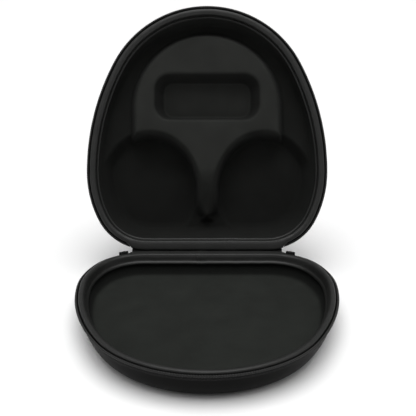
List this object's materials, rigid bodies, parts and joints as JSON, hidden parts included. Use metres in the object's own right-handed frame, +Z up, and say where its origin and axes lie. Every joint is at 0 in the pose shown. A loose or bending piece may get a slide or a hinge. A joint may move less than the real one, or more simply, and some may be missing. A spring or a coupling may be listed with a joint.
{
  "type": "headphone carrying case",
  "caption": "Clamshell headphone carrying case with a shallow base, a hinged deep lid, a moulded tray and a coil zip fastener.",
  "frame": {"origin": "centre of the base's flat underside, midway across and midway from hinge to front", "axes": "+X to the right seen from the front, +Y from the front edge to the hinge, +Z up; the lid is stored open at 110 degrees"},
  "size_m": [0.2094, 0.3213, 0.2237],
  "materials": {
    "cover": "matt pressed fabric on foam",
    "foam": "moulded closed-cell foam",
    "board": "plain sheet",
    "lining": "brushed knit lining",
    "tray": "moulded foam faced with brushed knit",
    "binding": "woven tape with a slight sheen",
    "tape": "woven tape",
    "coil": "nylon coil",
    "metal": "black lacquer"
  },
  "bodies": {
    "base": {"base_cover": "cover", "base_foam_shell": "foam", "base_floor_board": "board", "base_lining": "lining", "base_binding": "binding", "base_zip_tape": "tape", "base_hinge_leaf": "tape", "base_zip_coil": "coil", "base_zip_stop_left": "coil", "base_zip_stop_right": "coil"},
    "lid": {"lid_cover": "cover", "lid_foam_shell": "foam", "lid_tray": "tray", "lid_binding": "binding", "lid_zip_tape": "tape", "lid_hinge_leaf": "tape", "lid_zip_coil": "coil", "lid_zip_stop_left": "coil", "lid_zip_stop_right": "coil"},
    "slider_left": {"zip_slider_left": "metal"},
    "slider_right": {"zip_slider_right": "metal"},
    "pull_left": {"pull_ring_left": "metal", "pull_tab_left": "metal"},
    "pull_right": {"pull_ring_right": "metal", "pull_tab_right": "metal"}
  },
  "joints": [
    {"name": "lid_hinge", "type": "hinge", "parent": "base", "child": "lid", "pos_m": [0, 0.1055, 0.0264], "axis": [1, 0, 0], "range_deg": [-25, 110]},
    {"name": "slider_travel_left", "type": "hinge", "parent": "base", "child": "slider_left", "pos_m": [-0.053, 0.0585, 0.026], "axis": [0, 0, 1], "range_deg": [0, 33]},
    {"name": "slider_travel_right", "type": "hinge", "parent": "base", "child": "slider_right", "pos_m": [0.053, 0.0585, 0.026], "axis": [0, 0, -1], "range_deg": [0, 33]},
    {"name": "pull_swing_left", "type": "hinge", "parent": "slider_left", "child": "pull_left", "pos_m": [-0.07366, 0.10491, 0.0226], "axis": [0.9135, 0.4067, 0], "range_deg": [-5, 85]},
    {"name": "pull_swing_right", "type": "hinge", "parent": "slider_right", "child": "pull_right", "pos_m": [0.07366, 0.10491, 0.0226], "axis": [0.9135, -0.4067, 0], "range_deg": [-5, 85]}
  ]
}
